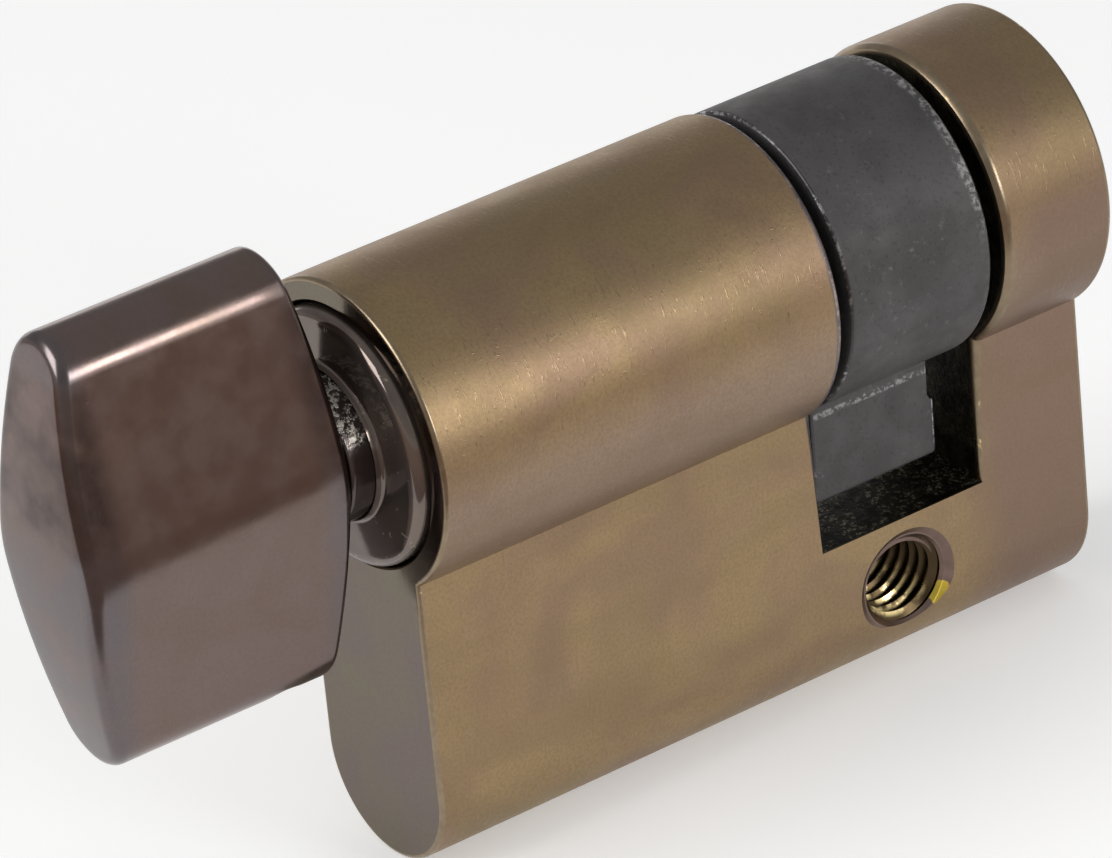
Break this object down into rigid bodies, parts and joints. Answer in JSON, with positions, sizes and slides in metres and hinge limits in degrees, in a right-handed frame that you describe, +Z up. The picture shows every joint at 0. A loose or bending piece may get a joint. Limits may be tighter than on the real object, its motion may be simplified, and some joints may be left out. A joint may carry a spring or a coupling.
{
  "type": "half euro profile door cylinder with thumb turn",
  "caption": "Half euro-profile lock cylinder: round barrel on a flat leg, round-ended bar thumb turn, cam ring with lever in an open slot, and a cross hole for the fixing screw.",
  "frame": {"origin": "on the barrel axis, in the plane of the fixing-screw hole, which is the middle of the cam slot", "axes": "+Y along the barrel axis away from the thumb turn, +Z up from the leg to the barrel, +X to the side the lever shows on in the picture"},
  "size_m": [0.0168, 0.0615, 0.0365],
  "materials": {
    "antique_brass": "satin antique bronze plating over brass",
    "dark_bronze": "polished dark bronze plating",
    "collar_bronze": "polished dark bronze plating",
    "bright_brass": "bare turned brass",
    "plain_steel": "turned steel",
    "spring_steel": "spring steel",
    "black_steel": "sintered steel, blackened",
    "seal_rubber": "matt"
  },
  "bodies": {
    "housing": {"body": "antique_brass", "rear_pilot": "plain_steel", "rear_blanking_disc": "antique_brass", "chamber_plug_front": "bright_brass", "chamber_plug_rear": "bright_brass", "pin_spring_front": "spring_steel", "pin_spring_rear": "spring_steel", "thrust_washer": "spring_steel", "cam_washer": "spring_steel"},
    "thumb_turn": {"turn_knob": "dark_bronze", "knob_grub_screw": "black_steel", "turn_spindle": "plain_steel", "collar_ring": "collar_bronze", "friction_o_ring": "seal_rubber", "spindle_clip": "spring_steel", "cam_shim": "spring_steel", "cam": "black_steel", "cam_drive_dog": "plain_steel"},
    "front_pin": {"retaining_pin_front": "bright_brass"},
    "rear_pin": {"retaining_pin_rear": "bright_brass"}
  },
  "joints": [
    {"name": "thumb_turn_spin", "type": "hinge", "parent": "housing", "child": "thumb_turn", "pos_m": [0, 0, 0], "axis": [0, 1, 0], "continuous": true},
    {"name": "front_pin_lift", "type": "slide", "parent": "housing", "child": "front_pin", "axis": [0, 0, -1], "range_m": [0, 0.0012], "stiffness_N_per_m": 600, "springref_m": -0.0015, "deforming": ["pin_spring_front"]},
    {"name": "rear_pin_lift", "type": "slide", "parent": "housing", "child": "rear_pin", "axis": [0, 0, -1], "range_m": [0, 0.0012], "stiffness_N_per_m": 600, "springref_m": -0.0015, "deforming": ["pin_spring_rear"]}
  ]
}
